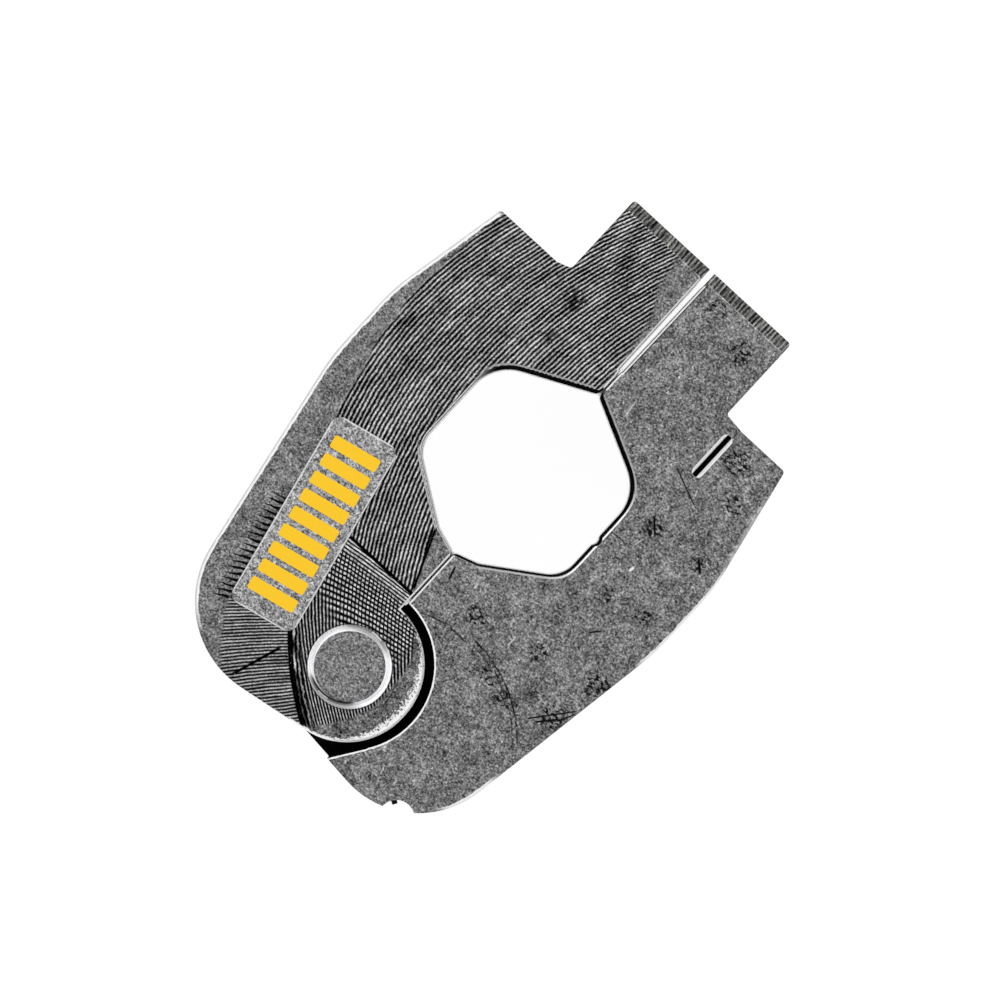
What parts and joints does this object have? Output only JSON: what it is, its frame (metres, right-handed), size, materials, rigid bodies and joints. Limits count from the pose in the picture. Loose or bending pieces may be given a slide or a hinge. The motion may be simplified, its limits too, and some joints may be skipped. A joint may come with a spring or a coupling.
{
  "type": "press ring",
  "caption": "Hinged two-jaw press ring with a hexagonal press contour, closing lugs for a press tong and a plain raised pad; it shuts round a pipe fitting and is squeezed.",
  "frame": {"origin": "pipe axis at the back face, on which the closed ring lies", "axes": "+Z along the pipe towards the front face, +Y from the hinge to the closing lugs, +X towards the tongue half"},
  "size_m": [0.0669, 0.0955, 0.0324],
  "materials": {
    "milled_steel": "coarsely milled",
    "blasted_steel": "mottled, blasted",
    "pin_steel": "mottled, ground chamfers",
    "small_steel": "dark"
  },
  "bodies": {
    "fork": {"fork_half": "milled_steel", "hinge_pin": "pin_steel"},
    "tongue": {"tongue_half": "blasted_steel", "brake_ball": "small_steel", "brake_spring": "small_steel", "brake_screw": "small_steel"}
  },
  "joints": [
    {"name": "hinge", "type": "hinge", "parent": "fork", "child": "tongue", "pos_m": [0, -0.0398, 0.016], "axis": [0, 0, -1], "range_deg": [0, 50]}
  ]
}
